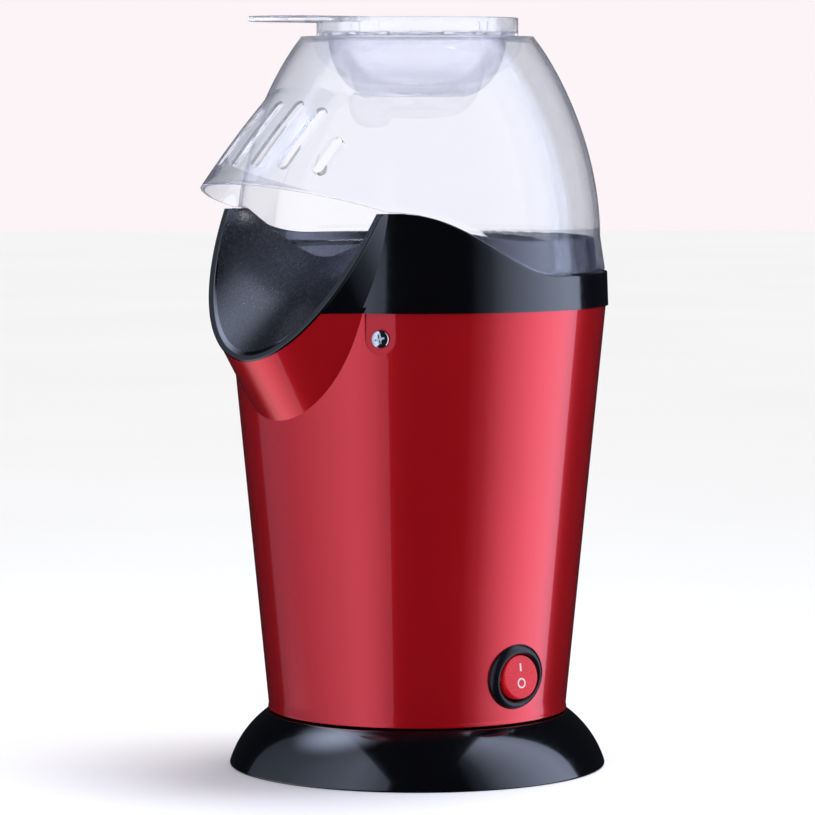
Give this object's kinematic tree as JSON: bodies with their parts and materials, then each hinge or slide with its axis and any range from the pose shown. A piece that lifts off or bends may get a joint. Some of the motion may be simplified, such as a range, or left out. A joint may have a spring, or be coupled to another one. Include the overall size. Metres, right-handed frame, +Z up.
{
  "type": "hot-air popcorn maker",
  "caption": "Countertop hot-air popcorn maker: tapered body with a spout chute, clear lift-off dome with a slotted hood, measuring cup in its top and a rocker switch.",
  "frame": {"origin": "on the body's vertical axis, in the plane the base stands on", "axes": "+Z up, the spout faces -Y and the rocker switch faces +X"},
  "size_m": [0.1404, 0.1563, 0.2748],
  "materials": {
    "black_gloss": "polished black moulding",
    "black_matte": "plain black moulding",
    "black_satin": "satin black moulding",
    "rubber": "soft black rubber",
    "zinc": "zinc-plated steel",
    "red_paint": "pearl red, high gloss",
    "chrome": "bright plated",
    "clear": "clear polycarbonate",
    "rocker_red": "translucent red",
    "mark_white": "printed white",
    "white_plastic": "heat-resistant off-white moulding",
    "brass": "bright brass",
    "aluminium": "spun aluminium",
    "silicone": "red silicone",
    "steel": "plain steel sheet",
    "mica": "pressed mica",
    "nichrome": "resistance wire",
    "copper": "enamelled copper",
    "ferrite": "dark ferrite and carbon",
    "board_green": "circuit board",
    "cap_sleeve": "sleeved capacitor",
    "wire_white": "silicone-covered wire"
  },
  "bodies": {
    "housing": {"base_skirt": "black_gloss", "bottom_cover": "black_matte", "rubber_feet": "rubber", "bottom_screws": "zinc", "body_shell": "red_paint", "collar": "black_gloss", "collar_screws": "chrome", "switch_bezel": "black_satin", "switch_terminals": "brass", "cord_grommet": "rubber", "cord_clamp": "black_matte", "clamp_screws": "zinc", "popping_chamber": "aluminium", "chamber_seal": "silicone", "heat_shield": "steel", "heater_shell": "steel", "mica_sleeve": "mica", "mica_cross": "mica", "heater_coil": "nichrome", "thermostat": "steel", "thermal_fuse": "steel", "fan_cover": "white_plastic", "fan_base": "white_plastic", "fan_screws": "zinc", "motor_can": "steel", "motor_end_cap": "black_matte", "motor_magnets": "ferrite", "motor_bearings": "brass", "carbon_brushes": "ferrite", "motor_screws": "zinc", "rectifier_board": "board_green", "rectifier_diodes": "black_matte", "filter_capacitor": "cap_sleeve", "lead_wires": "wire_white", "wire_connectors": "white_plastic"},
    "dome": {"dome_cover": "clear"},
    "cup": {"measuring_cup": "clear"},
    "rocker": {"switch_rocker": "rocker_red", "rocker_marks": "mark_white", "switch_plunger": "white_plastic"},
    "contact_lever": {"switch_lever": "brass"},
    "rotor": {"impeller": "white_plastic", "impeller_nut": "brass", "motor_shaft": "steel", "armature": "copper", "commutator": "copper"}
  },
  "joints": [
    {"name": "dome_lift", "type": "slide", "parent": "housing", "child": "dome", "axis": [0, 0, 1], "range_m": [0, 0.06]},
    {"name": "cup_lift", "type": "slide", "parent": "dome", "child": "cup", "axis": [0, 0, 1], "range_m": [0, 0.04]},
    {"name": "rocker_tilt", "type": "hinge", "parent": "housing", "child": "rocker", "pos_m": [0.05649, 0, 0.038], "axis": [0, 1, 0], "range_deg": [0, 24]},
    {"name": "lever_tilt", "type": "hinge", "parent": "housing", "child": "contact_lever", "pos_m": [0.04415, 0, 0.0392], "axis": [0, 1, 0], "range_deg": [-16, 0]},
    {"name": "rotor_spin", "type": "hinge", "parent": "housing", "child": "rotor", "pos_m": [0, 0, 0.03], "axis": [0, 0, 1], "continuous": true}
  ],
  "couplings": [
    {"joint": "lever_tilt", "follows": "rocker_tilt", "ratio": -0.6666}
  ]
}
